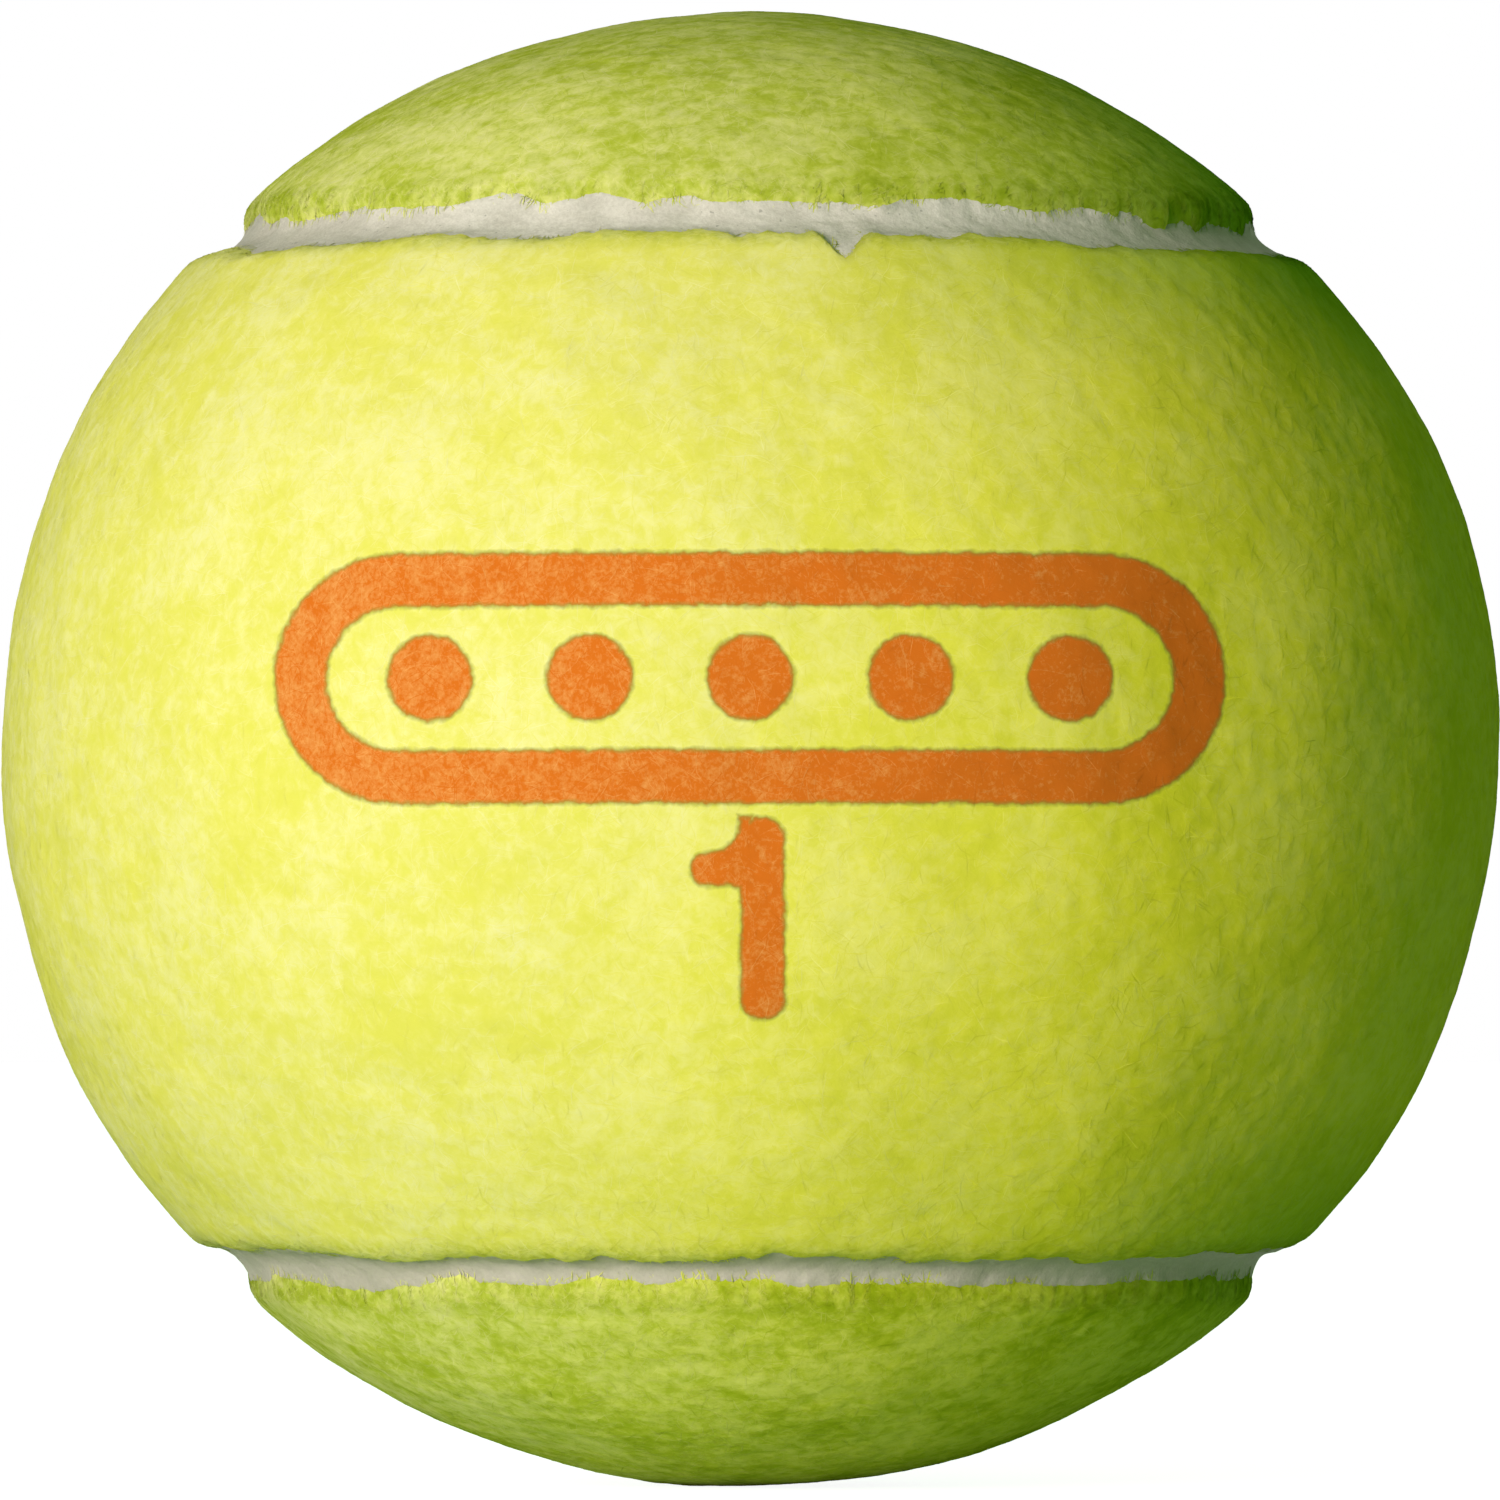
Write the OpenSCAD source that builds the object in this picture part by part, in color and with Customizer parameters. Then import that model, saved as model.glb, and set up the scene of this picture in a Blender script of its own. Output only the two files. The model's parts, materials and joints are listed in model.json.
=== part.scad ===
// A cloth-covered hollow rubber play ball at life size, in millimetres.
// The origin is the centre of the ball, +Z is up and the printed face looks along -Y.
// Two moulded rubber half shells are cemented rim to rim into a sealed core. Two alike dumbbell
// panels of napped cloth lock round it, and one endless bead of cement fills the seam between them.

/* [Ball] */
// Diameter of the ball over its nap
ball_d = 67; // [60:0.5:75]

/* [Core] */
// Wall of each moulded rubber half shell
core_wall = 3.2; // [2:0.1:5]
// Film of cement between the two ground rims
joint_film_t = 0.3; // [0.1:0.05:0.6]
// Bevel ground on the inner and the outer edge of each rim
rim_bevel = 0.4; // [0.2:0.05:0.7]
// Width of the bead of cement squeezed out inside the joint
joint_bead_w = 2.4; // [2:0.1:4]
// Height of that bead over the inside wall
joint_bead_h = 0.5; // [0.2:0.05:1]
// Coat of cement over the buffed core
core_coat_t = 0.15; // [0.05:0.05:0.4]

/* [Cover] */
// Coat of cement on the back of each panel
panel_coat_t = 0.15; // [0.05:0.05:0.4]
// Woven ground of the cloth
weave_t = 0.7; // [0.4:0.1:1.2]
// Raised nap that stands on the weave
nap_t = 2.6; // [1.8:0.1:4]

/* [Seam] */
// Gap between the two panels at the foot of the seam
seam_foot_w = 1.2; // [0.8:0.1:1.8]
// Opening between the rolled edges of the nap, at the face of the ball
groove_w = 4.7; // [4.2:0.1:6]
// Depth of the middle of the seam below the face of the ball
groove_depth = 1.1; // [0.8:0.1:1.4]
// Radius that the edge of the nap rolls over with
edge_round = 2.2; // [1.8:0.1:2.6]
// Angle in degrees at which the rolled edge breaks from the face of the ball
edge_break = 18; // [10:1:26]
// Angle in degrees over its own centre at which the roll runs into the cut edge
edge_tuck = 28; // [20:1:34]
// Height that the sides of the seam cement climb over its middle
seam_climb = 0.35; // [0.2:0.05:0.45]

/* [Hidden] */
$fn = 180;

// The seam is four half circles that meet in the plane y = 0, each on a cone this steep.
seam_angle = 45;
half_turn = 180;
quarter_turn = 90;

// Radii of the layers, from the face of the ball inwards
face_r = ball_d / 2;
nap_foot_r = face_r - nap_t;
weave_foot_r = nap_foot_r - weave_t;
panel_foot_r = weave_foot_r - panel_coat_t;
core_r = panel_foot_r - core_coat_t;
cavity_r = core_r - core_wall;

// The edge of a panel in section, as [distance along the ray through the seam, distance off it]
cut_foot = [panel_foot_r, seam_foot_w / 2];
shoulder = [sqrt(pow(face_r, 2) - pow(groove_w / 2, 2)), groove_w / 2];
break_way = [cos(edge_break), -sin(edge_break)];
tuck_way = [sin(edge_tuck), -cos(edge_tuck)];
roll_centre = shoulder - edge_round * break_way;
roll_end = roll_centre + edge_round * tuck_way;

// Where the seam cement ends on the roll, in the same terms
seam_floor_r = face_r - groove_depth;
seam_side_r = seam_floor_r + seam_climb;
seam_side_rise = seam_side_r - roll_centre[0];
seam_side = [seam_side_r, roll_centre[1] - sqrt(pow(edge_round, 2) - pow(seam_side_rise, 2))];

// Radius of the arc that spans a chord and rises by a height over it
function arc_radius(chord, rise) = (pow(chord / 2, 2) + pow(rise, 2)) / (2 * rise);
seam_hollow_r = arc_radius(2 * seam_side[1], seam_climb);
joint_bead_r = arc_radius(joint_bead_w, joint_bead_h);

module ring(inner_r, outer_r) {
    difference() {
        circle(r = outer_r);
        circle(r = inner_r);
    }
}

// A hollow ball, from one radius to another
module shell(inner_r, outer_r) {
    difference() {
        sphere(r = outer_r);
        sphere(r = inner_r);
    }
}

// All of a section that lies on the panel's side of a seam on the +X ray, with the panel towards +Y
module panel_side() {
    polygon([
        [0, 0],
        2 * cut_foot - roll_end,
        roll_end,
        roll_centre,
        roll_centre + [2 * edge_round, 0],
        [2 * face_r, 2 * face_r],
        [0, 2 * face_r],
    ]);
    intersection() {
        translate(roll_centre)
            circle(r = edge_round);
        polygon([
            roll_centre,
            roll_centre + 2 * edge_round * tuck_way,
            roll_centre + [2 * edge_round, 0],
        ]);
    }
}

// Section of a panel's waist, between its two seams
module waist_section() {
    intersection() {
        translate([0, -ball_d])
            square([ball_d, 2 * ball_d]);
        rotate(-seam_angle)
            panel_side();
        rotate(seam_angle)
            mirror([0, 1])
                panel_side();
    }
}

// Section of a panel's round end, from its seam to the middle of the end
module lobe_section() {
    intersection() {
        square(ball_d);
        rotate(seam_angle)
            panel_side();
    }
}

// All the space inside a dumbbell panel's edge: the waist turns about Z in front of the plane
// y = 0, and the two round ends turn about X behind it.
module panel_space() {
    rotate([0, 0, half_turn])
        rotate_extrude(angle = half_turn)
            waist_section();
    for (side = [-1, 1])
        rotate([0, side * quarter_turn, 0])
            rotate_extrude(angle = half_turn)
                lobe_section();
}

module front_layer(inner_r, outer_r) {
    intersection() {
        shell(inner_r, outer_r);
        panel_space();
    }
}

// The back panel is the same panel, turned to lock into the front one.
module back_layer(inner_r, outer_r) {
    intersection() {
        shell(inner_r, outer_r);
        rotate([0, 0, half_turn])
            rotate([0, quarter_turn, 0])
                panel_space();
    }
}

// Section of the seam cement on the +X ray: the gap between two panels, up to its hollow face
module seam_section() {
    difference() {
        intersection() {
            ring(panel_foot_r, face_r);
            translate([0, -groove_w / 2])
                square([(seam_side[0] + shoulder[0]) / 2, groove_w]);
        }
        panel_side();
        mirror([0, 1])
            panel_side();
        translate([seam_floor_r + seam_hollow_r, 0])
            circle(r = seam_hollow_r);
    }
}

// Section of the gap between the two rims, flared by their bevels
module rim_gap_section() {
    film = joint_film_t / 2;
    flare = film + 2 * rim_bevel;
    polygon([
        [cavity_r - rim_bevel, -flare],
        [cavity_r + rim_bevel, -film],
        [core_r - rim_bevel, -film],
        [core_r + rim_bevel, -flare],
        [core_r + rim_bevel, flare],
        [core_r - rim_bevel, film],
        [cavity_r + rim_bevel, film],
        [cavity_r - rim_bevel, flare],
    ]);
}

module core_half() {
    rotate_extrude()
        difference() {
            intersection() {
                ring(cavity_r, core_r);
                square(face_r);
            }
            rim_gap_section();
        }
}

module core_half_upper() {
    color("dimgray")
        core_half();
}

module core_half_lower() {
    color("dimgray")
        mirror([0, 0, 1])
            core_half();
}

module core_joint_cement() {
    color("black")
        rotate_extrude() {
            intersection() {
                ring(cavity_r, core_r);
                rim_gap_section();
            }
            intersection() {
                circle(r = cavity_r);
                translate([cavity_r - joint_bead_h + joint_bead_r, 0])
                    circle(r = joint_bead_r);
            }
        }
}

module core_cement_coat() {
    color("gainsboro")
        shell(core_r, panel_foot_r);
}

module panel_front_cement() {
    color("lightgray")
        front_layer(panel_foot_r, weave_foot_r);
}

module panel_back_cement() {
    color("lightgray")
        back_layer(panel_foot_r, weave_foot_r);
}

module panel_front_weave() {
    color("khaki")
        front_layer(weave_foot_r, nap_foot_r);
}

module panel_back_weave() {
    color("khaki")
        back_layer(weave_foot_r, nap_foot_r);
}

module panel_front_nap() {
    color([0.86, 0.91, 0.25])
        front_layer(nap_foot_r, face_r);
}

module panel_back_nap() {
    color([0.86, 0.91, 0.25])
        back_layer(nap_foot_r, face_r);
}

module seam_cement() {
    color([0.78, 0.77, 0.72]) {
        rotate([0, 0, half_turn])
            for (side = [-1, 1])
                rotate_extrude(angle = half_turn)
                    rotate(side * seam_angle)
                        seam_section();
        for (side = [-1, 1])
            rotate([0, side * quarter_turn, 0])
                rotate_extrude(angle = half_turn)
                    rotate(seam_angle)
                        seam_section();
    }
}

core_half_upper();
core_half_lower();
core_joint_cement();
core_cement_coat();
panel_front_cement();
panel_back_cement();
panel_front_weave();
panel_back_weave();
panel_front_nap();
panel_back_nap();
seam_cement();
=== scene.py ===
import json
import math

import bpy
import numpy as np
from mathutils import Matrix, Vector


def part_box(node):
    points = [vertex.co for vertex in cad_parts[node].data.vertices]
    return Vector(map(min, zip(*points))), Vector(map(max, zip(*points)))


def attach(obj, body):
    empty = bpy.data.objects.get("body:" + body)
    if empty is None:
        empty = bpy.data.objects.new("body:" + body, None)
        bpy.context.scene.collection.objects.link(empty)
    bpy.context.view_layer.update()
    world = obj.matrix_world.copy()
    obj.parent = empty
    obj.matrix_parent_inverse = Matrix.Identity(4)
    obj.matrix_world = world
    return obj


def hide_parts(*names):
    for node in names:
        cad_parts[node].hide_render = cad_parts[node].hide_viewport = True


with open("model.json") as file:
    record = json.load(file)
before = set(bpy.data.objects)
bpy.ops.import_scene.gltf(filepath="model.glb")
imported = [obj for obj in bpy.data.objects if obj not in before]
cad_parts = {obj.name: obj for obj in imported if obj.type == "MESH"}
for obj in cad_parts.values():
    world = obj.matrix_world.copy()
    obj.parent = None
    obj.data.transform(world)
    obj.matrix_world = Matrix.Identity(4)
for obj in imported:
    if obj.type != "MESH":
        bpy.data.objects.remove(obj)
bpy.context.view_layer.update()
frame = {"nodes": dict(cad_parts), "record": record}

# A felt-covered ball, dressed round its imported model. Lengths are in metres.
MM = 0.001

# A short step for slopes, and the least length that anything is divided by
SMALL = 0.02 * MM
TINY = 1e-9

# The ball's radius over the nap and at the foot of the nap, read from the frame
FACE_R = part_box("panel_back_nap")[1].z
FOOT_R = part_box("panel_back_weave")[1].z

# Sizes of the seam, as the model has them
GROOVE_W = 4.7 * MM
GROOVE_DEPTH = 1.1 * MM
EDGE_ROUND = 2.2 * MM
EDGE_BREAK = math.radians(18)
SEAM_CLIMB = 0.35 * MM
SEAM_FOOT_W = 1.2 * MM
SEAM_SIDE = 1.354 * MM
SEAM_REACH = 2.05 * MM
SEAM_ANGLE = math.pi / 4

# Centre of the circle that the edge of the nap rolls over, along and off the ray through the seam
SHOULDER_R = math.sqrt(FACE_R**2 - (GROOVE_W / 2) ** 2)
ROLL_R = SHOULDER_R - EDGE_ROUND * math.cos(EDGE_BREAK)
ROLL_OFF = GROOVE_W / 2 + EDGE_ROUND * math.sin(EDGE_BREAK)

SIDES = ("front", "back")


# The camera comes first: level with the ball, a little under its middle, through a long lens.
CAMERA_Y = -0.8
CAMERA_Z = -0.009
LENS_MM = 428.6
SENSOR_MM = 36


def make_camera():
    data = bpy.data.cameras.new("camera")
    data.lens = LENS_MM
    data.sensor_width = SENSOR_MM
    camera = bpy.data.objects.new("camera", data)
    camera.location = (0, CAMERA_Y, CAMERA_Z)
    camera.rotation_euler = (-camera.location).to_track_quat("-Z", "Y").to_euler()
    bpy.context.scene.collection.objects.link(camera)
    bpy.context.scene.camera = camera


# Where things lie on the ball. A direction is a unit vector from its centre, in the last axis.


def turned(way):
    """The turn that carries one panel onto the other."""
    return -way[..., ::-1]


def unit(way):
    return way / np.maximum(np.linalg.norm(way, axis=-1, keepdims=True), TINY)


def inside_front(way):
    """Distance over the ball from the middle of the seam into the front panel."""
    ahead = SEAM_ANGLE - np.abs(np.arcsin(np.clip(way[..., 2], -1, 1)))
    behind = np.abs(np.arcsin(np.clip(way[..., 0], -1, 1))) - SEAM_ANGLE
    return FACE_R * np.where(way[..., 1] < 0, ahead, behind)


def inside(way, side):
    depth = inside_front(way)
    return depth if side == "front" else -depth


def on_seam(way):
    """The direction on the middle of the seam that lies nearest."""
    share = math.cos(SEAM_ANGLE)
    x, y, z = way[..., 0], way[..., 1], way[..., 2]
    flat = share / np.maximum(np.hypot(x, y), TINY)
    ahead = np.stack([x * flat, y * flat, share * np.where(z < 0, -1, 1)], -1)
    flat = share / np.maximum(np.hypot(y, z), TINY)
    behind = np.stack([share * np.where(x < 0, -1, 1), y * flat, z * flat], -1)
    return np.where(way[..., 1:2] < 0, ahead, behind)


# How many plane waves make up a random field, and between which shares of its wavelength they lie
WAVES = 26
WAVE_SHARES = (0.7, 1.4)


def wave_set(wavelength, seed):
    """Random plane waves, each with its way, its rate and where it starts."""
    rng = np.random.default_rng(seed)
    ways = unit(rng.normal(size=(WAVES, 3)))
    rates = 2 * math.pi / (wavelength * rng.uniform(*WAVE_SHARES, WAVES))
    return list(zip(ways, rates, rng.uniform(0, 2 * math.pi, WAVES)))


def ripples(points, wavelength, seed):
    """A smooth random field of unit spread over points in space."""
    waves = wave_set(wavelength, seed)
    total = sum(np.cos(points @ way * rate + start) for way, rate, start in waves)
    return total * math.sqrt(2 / len(waves))


def ripple_slopes(points, wavelength, seed):
    """The slopes of that field, as a vector at each point."""
    waves = wave_set(wavelength, seed)
    total = np.zeros(points.shape)
    for way, rate, start in waves:
        total -= np.sin(points @ way * rate + start)[..., None] * way * rate
    return total * math.sqrt(2 / len(waves))


# Nicks in the edge of each panel that the photograph shows: how far right of the middle, on the
# upper (1) or lower (-1) seam, how far the edge stands back there, and half the width of the nick
NICKS = {
    "front": [
        (3.9 * MM, 1, 1.4 * MM, 0.6 * MM),
        (-8.4 * MM, 1, 0.3 * MM, 1.3 * MM),
        (-2.0 * MM, 1, -0.15 * MM, 1.5 * MM),
        (1.0 * MM, -1, 0.35 * MM, 0.45 * MM),
        (2.0 * MM, -1, -0.42 * MM, 26 * MM),
        (-6.5 * MM, -1, 0.2 * MM, 1.6 * MM),
        (-9 * MM, 1, -0.2 * MM, 9 * MM),
        (21 * MM, 1, 0.5 * MM, 9 * MM),
        (17 * MM, 1, 0.3 * MM, 5 * MM),
        (-19 * MM, 1, 0.5 * MM, 5 * MM),
        (-16 * MM, -1, -0.25 * MM, 6 * MM),
        (15 * MM, -1, -0.28 * MM, 6 * MM),
    ],
    "back": [
        (-10.9 * MM, 1, 0.3 * MM, 0.8 * MM),
        (-9.2 * MM, 1, -0.2 * MM, 0.5 * MM),
        (-7.0 * MM, 1, 0.3 * MM, 0.9 * MM),
        (-4.8 * MM, 1, -0.25 * MM, 0.8 * MM),
        (-2.8 * MM, 1, 0.35 * MM, 0.7 * MM),
        (5.9 * MM, 1, -0.25 * MM, 0.6 * MM),
        (7.6 * MM, 1, 0.3 * MM, 1.0 * MM),
        (-3.5 * MM, -1, 0.15 * MM, 1.2 * MM),
        (2.0 * MM, -1, -0.42 * MM, 26 * MM),
        (-9 * MM, 1, 0.2 * MM, 9 * MM),
        (21 * MM, 1, -0.5 * MM, 9 * MM),
        (-21 * MM, 1, -0.4 * MM, 4 * MM),
        (-16 * MM, -1, 0.25 * MM, 6 * MM),
        (15 * MM, -1, 0.28 * MM, 6 * MM),
    ],
}
SEEDS = {"front": 11, "back": 47}
EDGE_SHIFT = -0.25 * MM

# How ragged each edge is, as heights, wavelengths and steps from the panel's seed
RAGS = [(0.11 * MM, 5.5 * MM, 0), (0.06 * MM, 2.2 * MM, 1), (0.05 * MM, 0.7 * MM, 2)]

# The least depth and the most half width of a deep nick, and how the cement swells round it
DEEP_NICK = 0.5 * MM
DEEP_NICK_W = 1 * MM
SWELL_FULL = 1.6
SWELL_REACH = 1.7


def from_nick(seam, right, up):
    """Distance from points on the seam to a nick in front."""
    line = math.cos(SEAM_ANGLE) * FACE_R
    place = np.array([right, -math.sqrt(line**2 - right**2), up * line])
    return np.linalg.norm(seam - place, axis=-1)


def retreat(way, side):
    """How far the ragged edge of a panel stands back from its true line."""
    seam = on_seam(way) * FACE_R
    back = EDGE_SHIFT
    for high, wide, step in RAGS:
        back = back + high * ripples(seam, wide, SEEDS[side] + step)
    for right, up, depth, half_w in NICKS[side]:
        back += depth * np.exp(-((from_nick(seam, right, up) / half_w) ** 2))
    return back


def swell(way, side):
    """How far the cement is squeezed up where the edge of that panel has a deep nick, 0 to 1."""
    seam = on_seam(way) * FACE_R
    full = 0
    for right, up, depth, half_w in NICKS[side]:
        if depth < DEEP_NICK or half_w > DEEP_NICK_W:
            continue
        away = from_nick(seam, right, up)
        full = full + SWELL_FULL * np.exp(-((away / (SWELL_REACH * half_w)) ** 2))
    return np.minimum(full, 1)


# How softly the rolled edge of the nap breaks from the face of the ball
EDGE_SOFT = 0.14 * MM


def roll_radius(off):
    """Radius of a panel's face and rolled edge at a distance from the middle of the seam."""
    turn = np.clip(off, 0, GROOVE_W / 2) / FACE_R
    along = ROLL_R * np.cos(turn) + ROLL_OFF * np.sin(turn)
    rest = along**2 - (ROLL_R**2 + ROLL_OFF**2 - EDGE_ROUND**2)
    rolled = along + np.sqrt(np.maximum(rest, 0))
    rolled = rolled + math.tan(EDGE_BREAK) * np.maximum(off - GROOVE_W / 2, 0)
    over = rolled - FACE_R
    return FACE_R + (over - np.sqrt(over**2 + EDGE_SOFT**2)) / 2


# The photographed ball is a little lower than it is wide. What shows keeps this share of its
# height at the face of the ball, and all of it at the foot of the nap.
SQUASH = 0.984


def settle(points):
    """Lowers the cover of a true ball to the height that it has in the photograph."""
    radius = np.linalg.norm(points, axis=-1)
    share = np.clip((radius - FOOT_R) / (FACE_R - FOOT_R), 0, 1)
    flat = 1 - (1 - SQUASH) * share
    return np.stack([points[..., 0], points[..., 1], points[..., 2] * flat], -1)


# Unevenness of the nap's face, as heights, wavelengths and seeds
LUMPS = [(0.055 * MM, 11 * MM, 3), (0.014 * MM, 3.6 * MM, 4), (0.006 * MM, 1.3 * MM, 5)]


def unevenness(points, rows):
    """Height at points in space of a face with those heights, wavelengths and seeds."""
    return sum(high * ripples(points, wide, seed) for high, wide, seed in rows)


def lumps(way):
    """How far the nap's face stands off a true ball."""
    return unevenness(way * FACE_R, LUMPS)


# Fibres stand out every way, so light falls on the nap as on a face whose lumps and rolled edges
# have these shares of their slopes
FIBRE_RELIEF = 1.2
ROLL_RELIEF = 0.4


def facing(way, side):
    """Directions that a panel's nap is lit from as a whole, its lumps and rolled edge with it."""
    point = way * FACE_R
    slopes = sum(high * ripple_slopes(point, wide, seed) for high, wide, seed in LUMPS)
    off = inside(way, side) - retreat(way, side)
    fall = (roll_radius(off + SMALL) - roll_radius(off - SMALL)) / (2 * SMALL)
    slopes = FIBRE_RELIEF * slopes + ROLL_RELIEF * fall[..., None] * unit(way - on_seam(way))
    return way - (slopes - (slopes * way).sum(-1, keepdims=True) * way)


# How far the cement rises in a deep nick and with which share of that in the middle of the seam,
# how far out its hollow gives way with the panel's edge, how it slopes under the panels, and how
# far under the ball's face it stays
NICK_FILL = 0.22 * MM
NICK_FILL_SHARE = 0.35
HOLLOW_GIVES = 0.25 * MM
SMEAR_SLOPE = 0.25
CEMENT_UNDER = 0.12 * MM


def seam_radius(off, back, full):
    """Radius of the cement's face, a shallow hollow that climbs to the edges and fills nicks."""
    given = 1 + np.minimum(back, HOLLOW_GIVES) / SEAM_SIDE
    off = np.minimum(np.abs(off) / given, SEAM_REACH)
    hollow = SEAM_CLIMB * (off / SEAM_SIDE) ** 2
    smear = SEAM_CLIMB + SMEAR_SLOPE * (off - SEAM_SIDE)
    climb = (1 - NICK_FILL_SHARE) * np.minimum(off / SEAM_SIDE, 1) ** 2
    filled = NICK_FILL * full * (NICK_FILL_SHARE + climb)
    rise = np.where(off < SEAM_SIDE, hollow, smear) + filled
    return FACE_R - GROOVE_DEPTH + np.minimum(rise, GROOVE_DEPTH - CEMENT_UNDER)


def top_radius(way):
    """Radius of whatever shows: the higher of the two panels, or the cement between them."""
    bead = 0
    panels = []
    for side in SIDES:
        off, back = inside(way, side), retreat(way, side)
        panels.append(roll_radius(off - back))
        reached = (off > 0) & (off < SEAM_REACH * (1 + back / SEAM_SIDE))
        bead = np.where(reached, seam_radius(off, back, swell(way, side)), bead)
    return np.maximum(np.maximum(*panels) + lumps(way), bead)


# Closed curves round the front panel, parallel to its seam
WAIST_STEPS = 230
LOBE_STEPS = 200


def racetrack(depth, waist_n=WAIST_STEPS, lobe_n=LOBE_STEPS):
    """Directions of a closed curve that lies depth inside the seam, one depth for each column."""
    columns = 2 * (waist_n + lobe_n)
    angle = SEAM_ANGLE - np.broadcast_to(depth, (columns,)) / FACE_R
    top, left, bottom, right = np.split(angle, np.cumsum([waist_n, lobe_n, waist_n]))
    lon = math.pi * np.arange(waist_n) / waist_n
    arc = math.pi * np.arange(lobe_n) / lobe_n

    def waist(tilt, east, up):
        return [np.cos(tilt) * east * np.cos(lon), -np.cos(tilt) * np.sin(lon), up * np.sin(tilt)]

    def lobe(tilt, east, up):
        return [east * np.cos(tilt), np.sin(tilt) * np.sin(arc), up * np.sin(tilt) * np.cos(arc)]

    parts = [waist(top, 1, 1), lobe(left, -1, 1), waist(bottom, -1, -1), lobe(right, 1, -1)]
    return np.concatenate([np.stack(part, -1) for part in parts])


def add_mesh(name, points, faces, smooth=True):
    mesh = bpy.data.meshes.new(name)
    mesh.vertices.add(len(points))
    mesh.vertices.foreach_set("co", np.ascontiguousarray(points, np.float32).ravel())
    mesh.loops.add(faces.size)
    mesh.loops.foreach_set("vertex_index", np.ascontiguousarray(faces, np.int32).ravel())
    mesh.polygons.add(len(faces))
    starts = np.arange(len(faces), dtype=np.int32) * faces.shape[1]
    mesh.polygons.foreach_set("loop_start", starts)
    mesh.polygons.foreach_set("use_smooth", np.full(len(faces), smooth))
    mesh.update(calc_edges=True)
    piece = bpy.data.objects.new(name, mesh)
    bpy.context.scene.collection.objects.link(piece)
    return piece


def band_faces(first, second, columns):
    """Triangles between two closed rings, which start at those vertices."""
    here = np.arange(columns)
    after = (here + 1) % columns
    lower = np.stack([first + here, second + here, second + after], -1)
    upper = np.stack([first + here, second + after, first + after], -1)
    return np.concatenate([lower, upper])


def spine_faces(ring, spine, flip):
    """Triangles between the innermost ring and the line of vertices along the panel's middle."""
    walk = np.concatenate(
        [
            np.arange(WAIST_STEPS),
            np.full(LOBE_STEPS, WAIST_STEPS),
            np.arange(WAIST_STEPS, 0, -1),
            np.full(LOBE_STEPS, 0),
        ]
    )
    columns = len(walk)
    here = np.arange(columns)
    after = (here + 1) % columns
    inner, inner_after = spine + walk, spine + walk[after]
    fans = np.stack([inner, ring + here, ring + after], -1)
    strips = np.stack([inner, ring + after, inner_after], -1)[walk != walk[after]]
    faces = np.concatenate([fans, strips])
    return faces[:, ::-1] if flip else faces


# Rings of a panel's skin, as distances from the middle of the seam: where they start, the steps at
# the edge and on the face, and how far the steps widen. Then how near its middle the last of them
# lies, those of the underside, and how far in from the edge its ragged line fades out.
EDGE_START = 0.95 * MM
EDGE_STEP = 0.12 * MM
FACE_STEP = 0.34 * MM
FINE_REACH = 4 * MM
HALF_PANEL = SEAM_ANGLE * FACE_R
LAST_STEP = 1.5 * FACE_STEP
UNDERSIDE = [0.62 * MM, 2.5 * MM, 6 * MM, 10 * MM, 15 * MM, 20 * MM, 24.5 * MM]
RAGGED_REACH = 5 * MM


def ring_depths():
    """Depths of a skin's rings from its edge to its spine, fine over the roll and wider beyond."""
    depths = [EDGE_START]
    while depths[-1] < HALF_PANEL - LAST_STEP:
        share = min((depths[-1] - EDGE_START) / FINE_REACH, 1)
        depths.append(depths[-1] + EDGE_STEP + (FACE_STEP - EDGE_STEP) * share)
    return depths


def make_skin(side):
    """A panel's nap as one closed skin, with its ragged rolled edge, lumps, wall and underside."""
    place = (lambda way: way) if side == "front" else turned
    edge = place(racetrack(0))
    back = retreat(edge, side)
    points, normals = [], []
    for depth in reversed(ring_depths()):
        fade = max(0, 1 - max(0, depth - GROOVE_W / 2) / RAGGED_REACH) ** 2
        way = place(racetrack(depth + back * fade))
        points.append(way * (roll_radius(depth) + lumps(way))[:, None])
        normals.append(facing(way, side))
    for depth in UNDERSIDE:
        points.append(place(racetrack(depth)) * FOOT_R)
        normals.append(-place(racetrack(depth)))
    columns = len(edge)
    rings = len(points)
    lon = math.pi * np.arange(WAIST_STEPS + 1) / WAIST_STEPS
    spine = place(np.stack([np.cos(lon), -np.sin(lon), 0 * lon], -1))
    points.append(spine * (FACE_R + lumps(spine))[:, None])
    normals.append(facing(spine, side))
    points.append(spine * FOOT_R)
    normals.append(-spine)
    faces = [band_faces(i * columns, (i + 1) * columns, columns) for i in range(rings - 1)]
    faces.append(spine_faces(0, rings * columns, False))
    last = rings * columns + WAIST_STEPS + 1
    faces.append(spine_faces((rings - 1) * columns, last, True))
    skin = add_mesh(f"felt_{side}", settle(np.concatenate(points)), np.concatenate(faces))
    skin.data.normals_split_custom_set_from_vertices(unit(np.concatenate(normals)))
    return skin


# The cement bead: points over its face and along it, the unevenness of its face as heights,
# wavelengths and seeds, and where its flanks lie off the middle and under the floor of the seam
SEAM_TOP_STEPS = 30
SEAM_WAIST_STEPS = 300
SEAM_LOBE_STEPS = 300
SEAM_ROUGH = [(0.03 * MM, 4.5 * MM, 71), (0.014 * MM, 1.6 * MM, 72), (0.01 * MM, 0.6 * MM, 73)]
FLANK_OFF = SEAM_SIDE * 0.85
FLANK_UNDER = 0.4 * MM


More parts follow.
